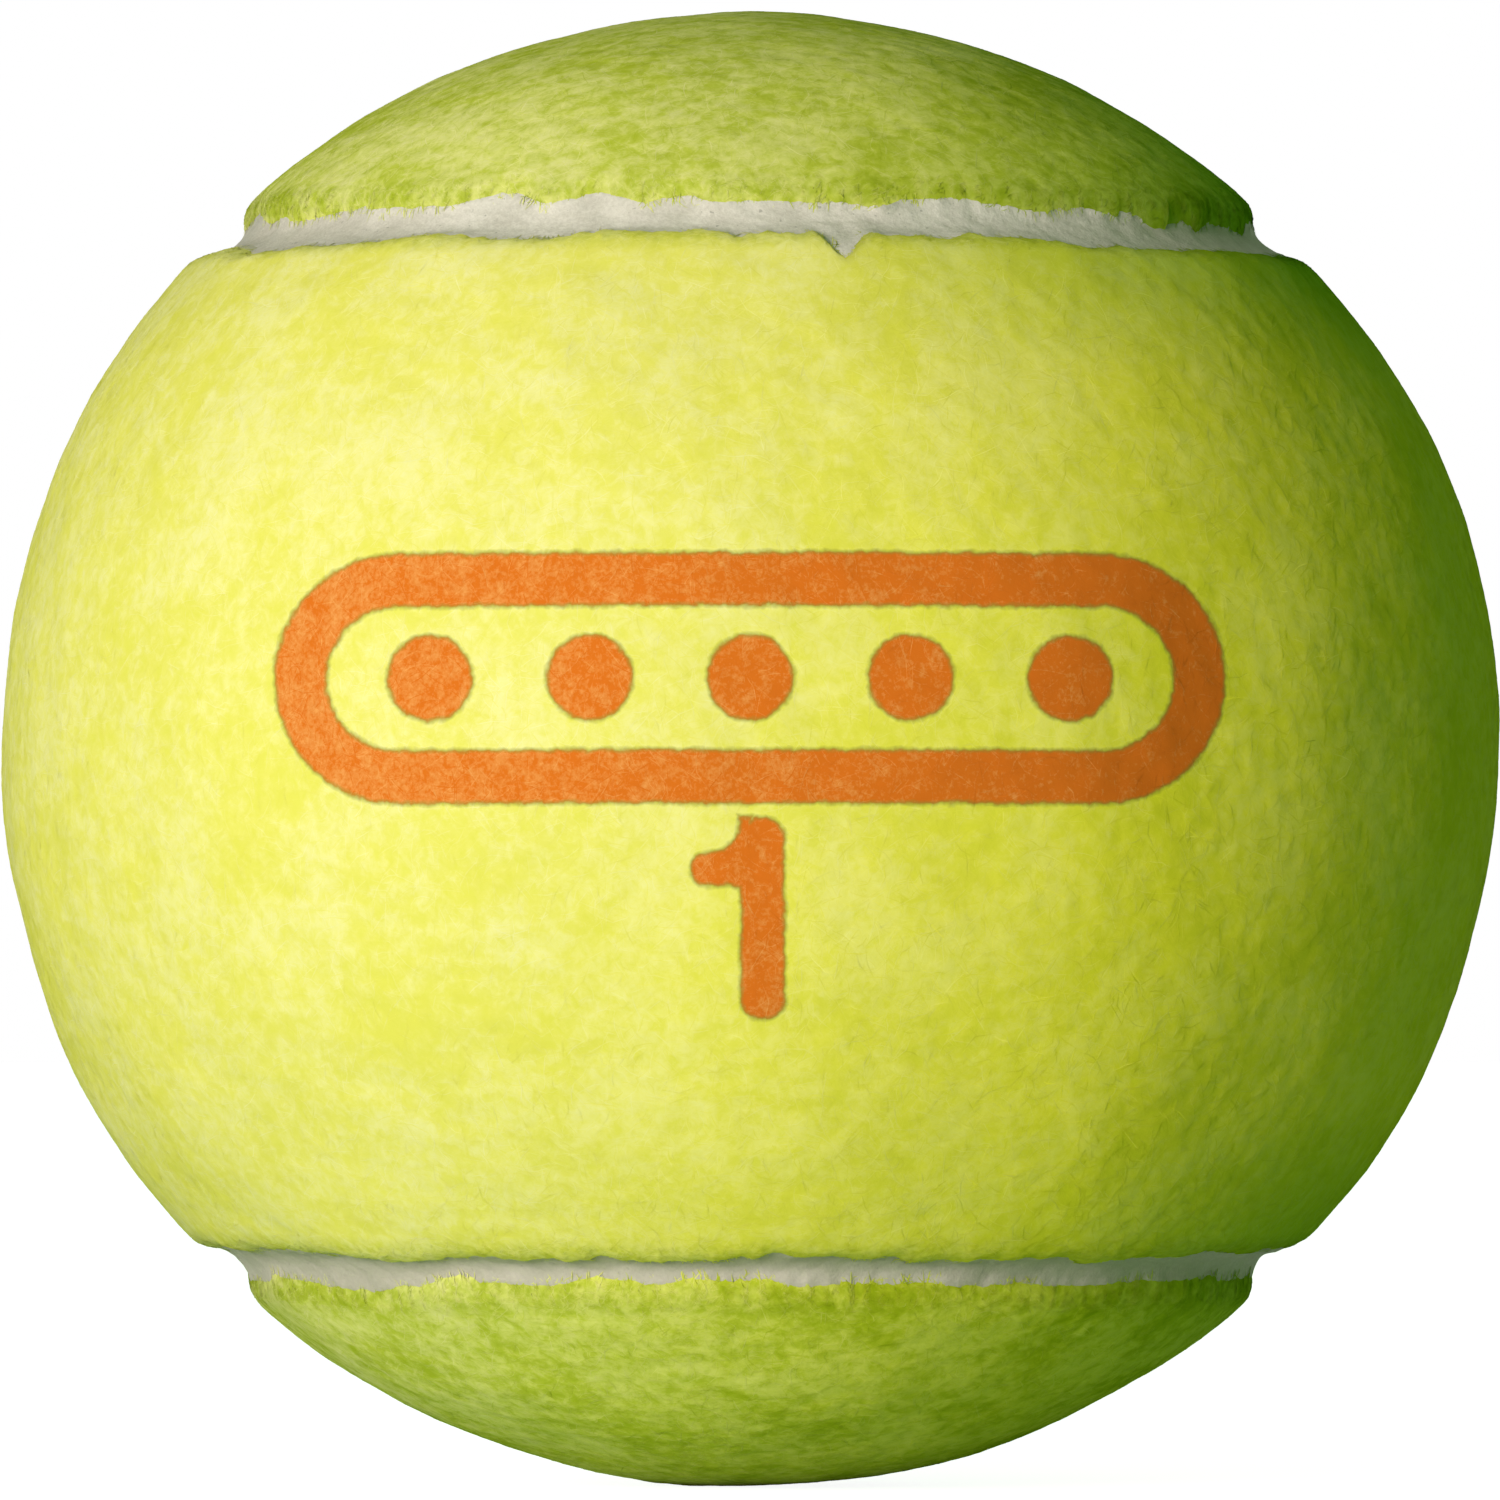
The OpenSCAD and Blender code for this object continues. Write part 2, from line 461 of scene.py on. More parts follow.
def make_seam():
    """The cement between the panels, as one closed bead with a lumpy face."""
    tops = np.linspace(SEAM_REACH, -SEAM_REACH, SEAM_TOP_STEPS)
    middle = racetrack(0, SEAM_WAIST_STEPS, SEAM_LOBE_STEPS)
    edges = {side: (retreat(middle, side), swell(middle, side)) for side in SIDES}
    flank_r = FACE_R - GROOVE_DEPTH - FLANK_UNDER
    foot_off = SEAM_FOOT_W / 2
    under = [(-FLANK_OFF, flank_r), (-foot_off, FOOT_R), (foot_off, FOOT_R), (FLANK_OFF, flank_r)]
    points = []
    for off in tops:
        back, full = edges["front" if off > 0 else "back"]
        spot = off * (1 + back / SEAM_SIDE)
        way = racetrack(spot, SEAM_WAIST_STEPS, SEAM_LOBE_STEPS)
        rough = unevenness(way * FACE_R, SEAM_ROUGH)
        points.append(way * (seam_radius(spot, back, full) + rough)[:, None])
    for off, radius in under:
        points.append(racetrack(off, SEAM_WAIST_STEPS, SEAM_LOBE_STEPS) * radius)
    columns = 2 * (SEAM_WAIST_STEPS + SEAM_LOBE_STEPS)
    rings = len(points)
    faces = [band_faces(i * columns, (i + 1) % rings * columns, columns) for i in range(rings)]
    return add_mesh("seam_bead", settle(np.concatenate(points)), np.concatenate(faces))


# Fibres of the nap: closed three-sided tubes that lie over the skin, in three kinds. For each: how
# many there are on a panel, between which depths past its edge they are rooted, their least and
# most length in millimetres, the spread of their curl for each millimetre, their least lift and
# how much more they may have, the power that keeps most of them low, their least and most
# thickness in millimetres, the steps along them, the least paleness, the spread of headings that
# aim at the seam, and whether they shorten toward it.
INNERMOST = HALF_PANEL * 1.03
FIBRE_KINDS = [
    {
        "count": 52000,
        "depths": (1.3 * MM, INNERMOST),
        "length_mm": (1.1, 2.9),
        "curl": 0.5,
        "lift": (0.003 * MM, 0.012 * MM),
        "lift_power": 2,
        "thick_mm": (0.018, 0.032),
        "steps": 4,
        "pale": 0,
        "aim": None,
        "shortens": True,
    },
    {
        "count": 12000,
        "depths": (1.3 * MM, 2.5 * MM),
        "length_mm": (0.2, 0.6),
        "curl": 1.6,
        "lift": (0.008 * MM, 0.02 * MM),
        "lift_power": 2,
        "thick_mm": (0.015, 0.024),
        "steps": 4,
        "pale": 0.4,
        "aim": 1.6,
        "shortens": False,
    },
    {
        "count": 1700,
        "depths": (3.2 * MM, INNERMOST),
        "length_mm": (2, 4.2),
        "curl": 0.55,
        "lift": (0.003 * MM, 0.006 * MM),
        "lift_power": 1,
        "thick_mm": (0.02, 0.034),
        "steps": 9,
        "pale": 0.5,
        "aim": None,
        "shortens": False,
    },
]
FIBRE_SEEDS = {"front": 77, "back": 329}

FIBRES_PER_PIECE = 11000
TRIES = 4

# Where fibres shorten toward the edge: from which depth, the least limit and how it grows
SHORT_FROM = 1.2 * MM
SHORT_LEAST = 0.35 * MM
SHORT_GROWTH = 1.1

# How fibres stray at each step, how full their arch is and how deep their ends sink
STRAY = 0.25
ARCH_POWER = 0.8
ROOT_DEPTH = 0.03 * MM

# Their sides and flatness, the share of their thickness at the tips and the power that swells them
# from there, how much they tilt the light that falls on them, each as a whole and over its width,
# and the margin round each in the bake map
TUBE_SIDES = 3
FIBRE_FLATNESS = 0.3
TIP_SHARE = 0.45
SWELL_POWER = 0.5
FIBRE_TILT = 0.045
FIBRE_ROUNDNESS = 0.06
BAKE_MAP = "OFBake"
BAKE_MARGIN = 0.08


def spread(count, side, depths, rng):
    """Random directions within a panel, with their depths past its ragged edge between two."""
    found = np.empty((0, 3))
    while len(found) < count:
        ways = unit(rng.normal(size=(TRIES * count, 3)))
        depth = inside(ways, side) - retreat(ways, side)
        found = np.concatenate([found, ways[(depth > depths[0]) & (depth < depths[1])]])
    return found[:count]


def around(axis, vector, angle):
    """The vector, which is square to the unit axis, turned round it."""
    angle = angle[:, None]
    return vector * np.cos(angle) + np.cross(axis, vector) * np.sin(angle)


def lay_fibres(roots, headings, length, curl, lift, steps, rng):
    """Centre lines of fibres that set out from their roots over the surface, curling as they go."""
    way, heading = roots, headings
    ways, heads = [], []
    for step in range(steps + 1):
        ways.append(way)
        heads.append(heading)
        way = unit(way + heading * (length / steps / FACE_R)[:, None])
        heading = unit(heading - (heading * way).sum(-1, keepdims=True) * way)
        heading = around(way, heading, curl * length / steps + rng.normal(0, STRAY, len(way)))
    ways = np.stack(ways, 1)
    share = np.linspace(0, 1, steps + 1)
    arch = np.sin(math.pi * share) ** ARCH_POWER
    rise = lift[:, None] * arch - ROOT_DEPTH * (1 - arch)
    radius = top_radius(ways) + rise
    return ways, np.stack(heads, 1), radius


def add_tubes(name, ways, heads, radius, thick, pale, side, rng):
    """A mesh of closed three-sided tubes with pointed ends along those centre lines.

    They are shaded as part of the surface, each tilted a little its own way.
    """
    count, stops = radius.shape
    centres = ways * radius[..., None]
    across = np.cross(ways, heads)
    share = np.linspace(0, 1, stops)
    taper = TIP_SHARE + (1 - TIP_SHARE) * np.sin(math.pi * share) ** SWELL_POWER
    tilt = np.cross(ways[:, :1], rng.normal(0, FIBRE_TILT, (count, 1, 3)))
    shades = facing(ways, side) + tilt
    points, normals = [], []
    for corner in range(TUBE_SIDES):
        angle = 2 * math.pi * corner / TUBE_SIDES + math.pi / 2
        sideways = math.cos(angle) * across
        out = sideways + FIBRE_FLATNESS * math.sin(angle) * ways
        points.append(centres + out * (thick[:, None] * taper)[..., None])
        normals.append(shades + FIBRE_ROUNDNESS * sideways)
    ring_n = stops - 2
    each = ring_n * TUBE_SIDES + 2

    def in_order(ends, corners):
        rings = np.stack(corners, 2)[:, 1:-1].reshape(count, ring_n * TUBE_SIDES, 3)
        return np.concatenate([ends[:, :1], rings, ends[:, -1:]], 1)

    whole = settle(in_order(centres, points))
    faces, maps = tube_pattern(ring_n)
    faces = faces[None] + (np.arange(count) * each)[:, None, None]
    piece = add_mesh(name, whole.reshape(-1, 3), faces.reshape(-1, 3))
    cells = math.ceil(math.sqrt(count))
    cell = np.stack([np.arange(count) % cells, np.arange(count) // cells], -1)
    uv = (cell[:, None, None] + BAKE_MARGIN + (1 - 2 * BAKE_MARGIN) * maps[None]) / cells
    layer = piece.data.uv_layers.new(name=BAKE_MAP)
    layer.data.foreach_set("uv", uv.astype(np.float32).ravel())
    strand = piece.data.attributes.new("strand", "FLOAT", "POINT")
    tone = pale + (1 - pale) * rng.random(count)
    strand.data.foreach_set("value", np.repeat(tone, each).astype(np.float32))
    normals = unit(in_order(shades, normals)).reshape(-1, 3)
    piece.data.normals_split_custom_set_from_vertices(normals)
    return piece


def tube_pattern(ring_n):
    """Triangles of one tube, and the places of their corners in its cell of the bake map."""
    last = ring_n * TUBE_SIDES + 1
    faces, maps = [], []

    def corner(ring, turn):
        share = (ring + 1) / (ring_n + 1)
        return 1 + ring * TUBE_SIDES + turn % TUBE_SIDES, (share, turn / TUBE_SIDES)

    def add(*corners):
        faces.append([index for index, _ in corners])
        maps.append([place for _, place in corners])

    for turn in range(TUBE_SIDES):
        middle = (turn + 1 / 2) / TUBE_SIDES
        add((0, (0, middle)), corner(0, turn + 1), corner(0, turn))
        for ring in range(ring_n - 1):
            here, beside = corner(ring, turn), corner(ring, turn + 1)
            ahead, across = corner(ring + 1, turn), corner(ring + 1, turn + 1)
            add(here, beside, across)
            add(here, across, ahead)
        add((last, (1, middle)), corner(ring_n - 1, turn), corner(ring_n - 1, turn + 1))
    return np.array(faces), np.array(maps)


def random_headings(roots, rng):
    return unit(np.cross(roots, rng.normal(size=roots.shape)))


def toward_seam(roots, side, spread_angle, rng):
    """Headings that point at the seam, give or take an angle."""
    pull = on_seam(roots) - roots
    straight = unit(pull - (pull * roots).sum(-1, keepdims=True) * roots)
    return around(roots, straight, rng.normal(0, spread_angle, len(roots)))


def draw_fibres(kind, side, rng):
    """Roots, headings, lengths, curls, lifts and thicknesses of one kind of fibres."""
    share = 1
    roots = spread(int(kind["count"] * share), side, kind["depths"], rng)
    length = rng.uniform(*kind["length_mm"], len(roots)) * MM
    if kind["shortens"]:
        depth = inside(roots, side) - retreat(roots, side)
        length = np.minimum(length, SHORT_LEAST + SHORT_GROWTH * np.abs(depth - SHORT_FROM))
    curl = rng.normal(0, kind["curl"], len(roots)) / MM
    least, more = kind["lift"]
    lift = least + more * rng.random(len(roots)) ** kind["lift_power"]
    thick = rng.uniform(*kind["thick_mm"], len(roots)) * MM
    if kind["aim"] is None:
        headings = random_headings(roots, rng)
    else:
        headings = toward_seam(roots, side, kind["aim"], rng)
    return roots, headings, length, curl, lift, thick


def make_nap(side):
    """Every fibre of a panel, in pieces small enough to keep."""
    rng = np.random.default_rng(FIBRE_SEEDS[side])
    drawn = [draw_fibres(kind, side, rng) for kind in FIBRE_KINDS]
    pieces = []
    for kind, (roots, headings, length, curl, lift, thick) in zip(FIBRE_KINDS, drawn):
        lines = lay_fibres(roots, headings, length, curl, lift, kind["steps"], rng)
        batches = math.ceil(len(roots) / FIBRES_PER_PIECE)
        for batch in np.array_split(np.arange(len(roots)), batches):
            name = f"nap_{side}_{len(pieces) + 1}"
            line = [part[batch] for part in lines]
            pieces.append(add_tubes(name, *line, thick[batch], kind["pale"], side, rng))
    return pieces


class Finish:
    """A procedural material, with one short call for each kind of node."""

    def __init__(self, name, **settings):
        self.material = bpy.data.materials.new(name)
        self.material.use_nodes = True
        self.tree = self.material.node_tree
        self.shader = self.tree.nodes["Principled BSDF"]
        for key, value in settings.items():
            self.shader.inputs[key.replace("_", " ")].default_value = value
        self.place = self.add("ShaderNodeTexCoord", {}).outputs["Object"]

    def add(self, kind, values, **settings):
        node = self.tree.nodes.new(kind)
        for key, value in settings.items():
            setattr(node, key, value)
        for key, value in values.items():
            self.put(value, node.inputs[key])
        return node

    def put(self, value, socket):
        if isinstance(value, bpy.types.NodeSocket):
            self.tree.links.new(value, socket)
        else:
            socket.default_value = value

    def calc(self, operation, *values, clamp=False):
        named = dict(enumerate(values))
        return self.add("ShaderNodeMath", named, operation=operation, use_clamp=clamp).outputs[0]

    def noise(self, size, detail=2.0, roughness=0.5, distortion=0.0):
        values = {
            "Vector": self.place,
            "Scale": 1 / size,
            "Detail": detail,
            "Roughness": roughness,
            "Distortion": distortion,
        }
        return self.add("ShaderNodeTexNoise", values).outputs["Fac"]

    def ramp(self, value, low, high):
        """The value spread from 0 at low to 1 at high."""
        values = {"Value": value, "From Min": low, "From Max": high}
        return self.add("ShaderNodeMapRange", values, clamp=True).outputs[0]

    def mix(self, share, low, high, blend="MIX"):
        node = self.add("ShaderNodeMix", {}, data_type="RGBA", blend_type=blend)
        self.put(share, node.inputs[0])
        self.put(low, node.inputs[6])
        self.put(high, node.inputs[7])
        return node.outputs[2]

    def bump(self, height, distance, strength=1.0):
        values = {"Height": height, "Distance": distance, "Strength": strength}
        self.put(self.add("ShaderNodeBump", values).outputs[0], self.shader.inputs["Normal"])


def colour(red, green, blue):
    return (red, green, blue, 1)


# The nap's colours, from the ground of its mottle to its palest fibres: first at the ball's lit,
# paler upper left, then the painted shade that they turn to at its lower right, where the light
# falls off, with the pale fibres thinning out there too. Where that painted shade starts and where
# it is full are shares of the radius, and its tint multiplies what lies under the pale fibres.
# The back panel's darker ground is partly painted shade, in the gaps between tufts where the light
# grazes its poles.
NAP_DEEP = {"front": colour(0.84, 0.825, 0.13), "back": colour(0.54, 0.63, 0.045)}
NAP = {"front": colour(0.91, 0.88, 0.25), "back": colour(0.87, 0.89, 0.21)}
NAP_PALE = colour(0.94, 0.92, 0.42)
NAP_DEEP_SHADED = {"front": colour(0.78, 0.795, 0.12), "back": colour(0.48, 0.58, 0.04)}
NAP_PALE_SHADED = colour(0.97, 0.95, 0.24)
NAP_SHADE_TINT = colour(1.05, 1.02, 0.27)
SHADE_TILT = 0.25
SHADE_FROM = -0.25
SHADE_TO = 0.55
PALE_SHADE_FADE = (2.5, 0)

# Noises in the nap, each as its size, detail, roughness and distortion
CLOUD = (5 * MM, 2, 0.5, 0.4)
MOTTLE = (0.8 * MM, 4, 0.65, 0.4)
FLECK = (0.45 * MM, 2, 0.6, 1.2)
PATCH = (0.4 * MM, 2, 0.6)
EDGE_WANDER = (0.6 * MM, 2, 0.6)
INK_GRAIN = (0.22 * MM, 2, 0.7)

# How those noises add up, and between which sums the nap turns from deep to plain and to pale
CLOUD_SHARE = 0.6
MOTTLE_SHARE = 0.8
FLECK_SHARE = 0.42
PLAIN_RAMP = (0.5, 0.92)
PALE_RAMP = (0.84, 1.3)

# Painted shade: how the nap darkens toward the seams on the ball's right, where it turns from the
# light: its colour at the darkest place, where that is reached as a share of the radius, how it
# leans, and how far from a seam it reaches
NAP_SEAM_SHADE = colour(0.38, 0.65, 0.32)
SEAM_SHADE_TO = 0.8
SEAM_SHADE_TILT = 0.1
SEAM_SHADE_REACH = {"front": 9.5 * MM, "back": 20 * MM}
SEAM_SHADE_NEAR = 1.5 * MM

# Painted shade down the nap's rolled edges, where the fibres shade each other: its colour, between
# which distances from the middle of the seam that comes and goes, and how patchy it is
NAP_EDGE_SHADE = colour(0.74, 0.79, 0.6)
EDGE_SHADE_COMES = (2.6 * MM, 1.7 * MM)
EDGE_SHADE_GOES = (0.75 * MM, 1 * MM)
PATCH_RAMP = (0.8, 0.45)
PATCH_FLECK = 0.3
PATCH_DEPTH = 0.6

# Bump of the skin under the fibres: share of its flecks, height and strength
SKIN_FLECK = 0.6
SKIN_BUMP = (0.12 * MM, 0.12)

# The print's ink, where it is rubbed pale, partly as real wear and partly as painted light that
# pales it toward the lit left, the dirty line at its edge, and how that edge wanders
INK = colour(0.77, 0.185, 0.017)
INK_PALE = colour(0.86, 0.37, 0.1)
# Painted light: the ink pales toward the ball's lit left.
INK_LIT_PALING = -0.25 / FACE_R
INK_FLECK = 0.45
RUBBED_AND_LIT_RAMP = (1.16, 1.7)
INK_RAMP = (0.04 * MM, -0.04 * MM)
INK_EDGE = colour(0.30, 0.30, 0.05)
INK_EDGE_RAMP = (0.16 * MM, 0.03 * MM)
INK_EDGE_SHARE = 0.55
WANDER = 0.35 * MM

# The print on the front panel: a plain rounded frame with a row of dots, and a digit under it
FRAME_Z = 2.75 * MM
FRAME_HALF_W = 20.6 * MM
FRAME_HALF_H = 5.4 * MM
FRAME_LINE = 2.3 * MM
DOT_PITCH = 6.9 * MM
DOT_R = 1.85 * MM
DOTS_EACH_SIDE = 2
DIGIT_X = 0.55 * MM
DIGIT_TOP = -3.24 * MM
DIGIT_FOOT = -11.95 * MM
DIGIT_LINE = 1.9 * MM
FLAG_X = -2.55 * MM
FLAG_Z = -5.5 * MM
FLAG_LINE = 1.45 * MM
FLAG_ROUND = 1.5 * MM
FLAG_WEB = FLAG_ROUND * 1.3


def hypotenuse(f, a, b):
    return f.calc("SQRT", f.calc("ADD", f.calc("MULTIPLY", a, a), f.calc("MULTIPLY", b, b)))


def bar(f, x, z, across, up, line):
    """Distance from a bar with round ends, a line wide, whose middle runs between those limits."""

    def off(value, low, high):
        return f.calc("SUBTRACT", value, f.calc("MINIMUM", f.calc("MAXIMUM", value, low), high))

    return f.calc("SUBTRACT", hypotenuse(f, off(x, *across), off(z, *up)), line / 2)


def frame_and_dots(f, x, z):
    """Distance from the rounded frame and from the row of dots in it."""
    up = f.calc("SUBTRACT", z, FRAME_Z)
    past = f.calc("SUBTRACT", f.calc("ABSOLUTE", x), FRAME_HALF_W - FRAME_HALF_H)
    round_end = hypotenuse(f, f.calc("MAXIMUM", past, 0), up)
    rim = f.calc("SUBTRACT", round_end, FRAME_HALF_H - FRAME_LINE / 2)
    line = f.calc("SUBTRACT", f.calc("ABSOLUTE", rim), FRAME_LINE / 2)
    nearest = f.calc("ROUND", f.calc("DIVIDE", x, DOT_PITCH))
    nearest = f.calc("MINIMUM", f.calc("MAXIMUM", nearest, -DOTS_EACH_SIDE), DOTS_EACH_SIDE)
    beside = f.calc("SUBTRACT", x, f.calc("MULTIPLY", nearest, DOT_PITCH))
    return line, f.calc("SUBTRACT", hypotenuse(f, beside, up), DOT_R)


def digit(f, x, z):
    """Distance from the stem of the digit 1, from its flag, and from the web between the two."""
    stem_r, flag_r = DIGIT_LINE / 2, FLAG_LINE / 2
    stem_up = (DIGIT_FOOT + stem_r, DIGIT_TOP - stem_r)
    stem = bar(f, x, z, (DIGIT_X, DIGIT_X), stem_up, DIGIT_LINE)
    flag = bar(f, x, z, (FLAG_X + flag_r, DIGIT_X - flag_r), (FLAG_Z, FLAG_Z), FLAG_LINE)
    across = f.calc("SUBTRACT", x, DIGIT_X - stem_r - FLAG_ROUND)
    down = f.calc("SUBTRACT", FLAG_Z + flag_r + FLAG_ROUND, z)
    web = f.calc("SUBTRACT", FLAG_ROUND, hypotenuse(f, across, down))
    for reach in (across, down):
        web = f.calc("MAXIMUM", web, f.calc("MULTIPLY", reach, -1))
        web = f.calc("MAXIMUM", web, f.calc("SUBTRACT", reach, FLAG_WEB))
    return stem, flag, web


def print_distance(f):
    """Distance from the edge of the print, as seen from the front; negative on the ink."""
    x, y, z = f.add("ShaderNodeSeparateXYZ", {0: f.place}).outputs
    whole, *others = *frame_and_dots(f, x, z), *digit(f, x, z)
    for shape in others:
        whole = f.calc("MINIMUM", whole, shape)
    return f.calc("ADD", whole, f.calc("GREATER_THAN", y, 0))


def seam_distance(f):
    """Distance over the ball from the middle of the seam, to either side."""
    round_again = {0: f.place, 1: (1, 1, 1 / SQUASH)}
    place = f.add("ShaderNodeVectorMath", round_again, operation="MULTIPLY").outputs[0]
    way = f.add("ShaderNodeVectorMath", {0: place}, operation="NORMALIZE").outputs[0]
    x, y, z = f.add("ShaderNodeSeparateXYZ", {0: way}).outputs
    behind = f.calc("GREATER_THAN", y, 0)
    across = f.calc("MULTIPLY", f.calc("ABSOLUTE", x), behind)
    up = f.calc("MULTIPLY", f.calc("ABSOLUTE", z), f.calc("SUBTRACT", 1, behind))
    turn = f.calc("SUBTRACT", f.calc("ARCSINE", f.calc("ADD", across, up)), SEAM_ANGLE)
    return f.calc("MULTIPLY", f.calc("ABSOLUTE", turn), FACE_R)


def nap_colour(f, side, mottle, fleck, x, z):
    """The felt's colour: mottled and flecked, with painted shade to the lower right, near the seams
    there and down its edges.
    """
    cloud = f.calc("MULTIPLY", f.noise(*CLOUD), CLOUD_SHARE)
    clump = f.calc("ADD", cloud, f.calc("MULTIPLY", mottle, MOTTLE_SHARE))
    tuft = f.calc("ADD", clump, f.calc("MULTIPLY", fleck, FLECK_SHARE))
    # Painted shade: the nap turns deeper and less blue toward the lower right, where the light
    # falls off, and its pale fibres thin out there.
    down = f.calc("SUBTRACT", x, f.calc("MULTIPLY", z, SHADE_TILT))
    lower_right_shade = f.ramp(down, SHADE_FROM * FACE_R, SHADE_TO * FACE_R)
    deep = f.mix(lower_right_shade, NAP_DEEP[side], NAP_DEEP_SHADED[side])
    nap = f.mix(f.ramp(clump, *PLAIN_RAMP), deep, NAP[side])
    nap = f.mix(lower_right_shade, nap, NAP_SHADE_TINT, "MULTIPLY")
    light = f.calc("MULTIPLY", f.ramp(tuft, *PALE_RAMP), f.ramp(lower_right_shade, *PALE_SHADE_FADE))
    nap = f.mix(light, nap, f.mix(lower_right_shade, NAP_PALE, NAP_PALE_SHADED))
    off = seam_distance(f)
    # Painted shade: darker toward the seams on the ball's right.
    right_shade = f.ramp(f.calc("ADD", x, f.calc("MULTIPLY", z, SEAM_SHADE_TILT)), 0, SEAM_SHADE_TO * FACE_R)
    near = f.ramp(off, SEAM_SHADE_REACH[side], SEAM_SHADE_NEAR)
    nap = f.mix(f.calc("MULTIPLY", f.calc("MULTIPLY", right_shade, right_shade), near), nap, NAP_SEAM_SHADE, "MULTIPLY")
    # Painted shade down the rolled edges, patchy, and gone again where fibres cross the cement.
    edge_shade = f.calc("MINIMUM", f.ramp(off, *EDGE_SHADE_COMES), f.ramp(off, *EDGE_SHADE_GOES))
    fine = f.calc("ADD", f.noise(*PATCH), f.calc("MULTIPLY", fleck, PATCH_FLECK))
    patch = f.calc("MULTIPLY", f.ramp(fine, *PATCH_RAMP), PATCH_DEPTH)
    patch = f.calc("ADD", patch, 1 - PATCH_DEPTH)
    return f.mix(f.calc("MULTIPLY", edge_shade, patch), nap, NAP_EDGE_SHADE, "MULTIPLY")


def nap_finish(name, fibre, side):
    """Fluorescent yellow nap: mottled, with paler fibres, and with the print over it."""
    f = Finish(name, Roughness=0.95)
    f.shader.inputs["Specular IOR Level"].default_value = 0
    mottle = f.noise(*MOTTLE)
    if fibre:
        fleck = f.add("ShaderNodeAttribute", {}, attribute_name="strand").outputs["Fac"]
    else:
        fleck = f.noise(*FLECK)
    x, _, z = f.add("ShaderNodeSeparateXYZ", {0: f.place}).outputs
    nap = nap_colour(f, side, mottle, fleck, x, z)
    wander = f.calc("MULTIPLY", f.calc("SUBTRACT", f.noise(*EDGE_WANDER), 0.5), WANDER)
    distance = f.calc("ADD", print_distance(f), wander)
    grain = f.calc("ADD", f.noise(*INK_GRAIN), f.calc("MULTIPLY", fleck, INK_FLECK))
    # The ink's paleness is partly real rubbing and partly painted light, paler toward the lit left.
    rubbed_and_lit = f.calc("ADD", f.calc("ADD", grain, mottle), f.calc("MULTIPLY", x, INK_LIT_PALING))
    ink = f.mix(f.ramp(rubbed_and_lit, *RUBBED_AND_LIT_RAMP), INK, INK_PALE)
    rim = f.ramp(f.calc("ABSOLUTE", distance), *INK_EDGE_RAMP)
    painted = f.mix(f.ramp(distance, *INK_RAMP), nap, ink)
    painted = f.mix(f.calc("MULTIPLY", rim, INK_EDGE_SHARE), painted, INK_EDGE)
    f.put(painted, f.shader.inputs["Base Color"])
    if not fibre:
        f.bump(f.calc("ADD", mottle, f.calc("MULTIPLY", fleck, SKIN_FLECK)), *SKIN_BUMP)
    return f.material


# The seam cement: its colours, its noises as sizes, details and roughnesses, and where it is
# specked, and the painted shade that darkens it toward its ends and underneath
CEMENT_DARK = colour(0.62, 0.59, 0.53)
CEMENT_PALE = colour(0.78, 0.75, 0.69)
CEMENT_SPECK = colour(0.22, 0.22, 0.19)
CEMENT_SHADE = colour(0.42, 0.385, 0.33)
CEMENT_CLOUD = (2.2 * MM, 3, 0.6)
CEMENT_GRAIN = (0.2 * MM, 2, 0.7)
CEMENT_DOTS = (0.28 * MM, 1, 0.5)
CEMENT_PITS = (0.3 * MM, 3, 0.6)
CEMENT_RAMP = (0.75, 1.25)
SPECK_RAMP = (0.72, 0.78)
SPECK_SHARE = 0.5
SHADED_ENDS_RAMP = (13 * MM, 23 * MM)
SHADED_ENDS_SHARE = 0.5
SHADED_UNDER_RAMP = (-8 * MM, -20 * MM)
SHADED_UNDER_SHARE = 0.62
CEMENT_BUMP = (0.04 * MM, 0.6)


def seam_finish():
    f = Finish("seam_cement", Roughness=0.75)
    f.shader.inputs["Specular IOR Level"].default_value = 0.2
    grain = f.noise(*CEMENT_GRAIN)
    tone = f.ramp(f.calc("ADD", f.noise(*CEMENT_CLOUD), grain), *CEMENT_RAMP)
    base = f.mix(tone, CEMENT_DARK, CEMENT_PALE)
    speck = f.ramp(f.noise(*CEMENT_DOTS), *SPECK_RAMP)
    base = f.mix(f.calc("MULTIPLY", speck, SPECK_SHARE), base, CEMENT_SPECK)
    x, _, z = f.add("ShaderNodeSeparateXYZ", {0: f.place}).outputs
    # Painted shade: the cement darkens toward its ends and on the seam under the ball.
    ends = f.calc("MULTIPLY", f.ramp(f.calc("ABSOLUTE", x), *SHADED_ENDS_RAMP), SHADED_ENDS_SHARE)
    under = f.calc("MULTIPLY", f.ramp(z, *SHADED_UNDER_RAMP), SHADED_UNDER_SHARE)
    base = f.mix(f.calc("MAXIMUM", under, ends), base, CEMENT_SHADE)
    f.put(base, f.shader.inputs["Base Color"])
    f.bump(f.calc("ADD", f.noise(*CEMENT_PITS), grain), *CEMENT_BUMP)
    return f.material


# Plain finishes: dark and light colour, size of the mottle, roughness and height of the bump
PLAIN_FINISHES = {
    "core_rubber": (
        colour(0.045, 0.045, 0.05),
        colour(0.09, 0.09, 0.095),
        1.5 * MM,
        0.7,
        0.06 * MM,
    ),
    "coat_cement": (
        colour(0.50, 0.48, 0.40),
        colour(0.66, 0.64, 0.56),
        2.5 * MM,
        0.6,
        0.04 * MM,
    ),
    "joint_cement": (
        colour(0.03, 0.03, 0.033),
        colour(0.07, 0.07, 0.075),
        0.8 * MM,
        0.45,
        0.03 * MM,
    ),
}

# Detail and roughness of that mottle, and strength of the bump
PLAIN_MOTTLE = (4, 0.6)
PLAIN_BUMP = 0.6


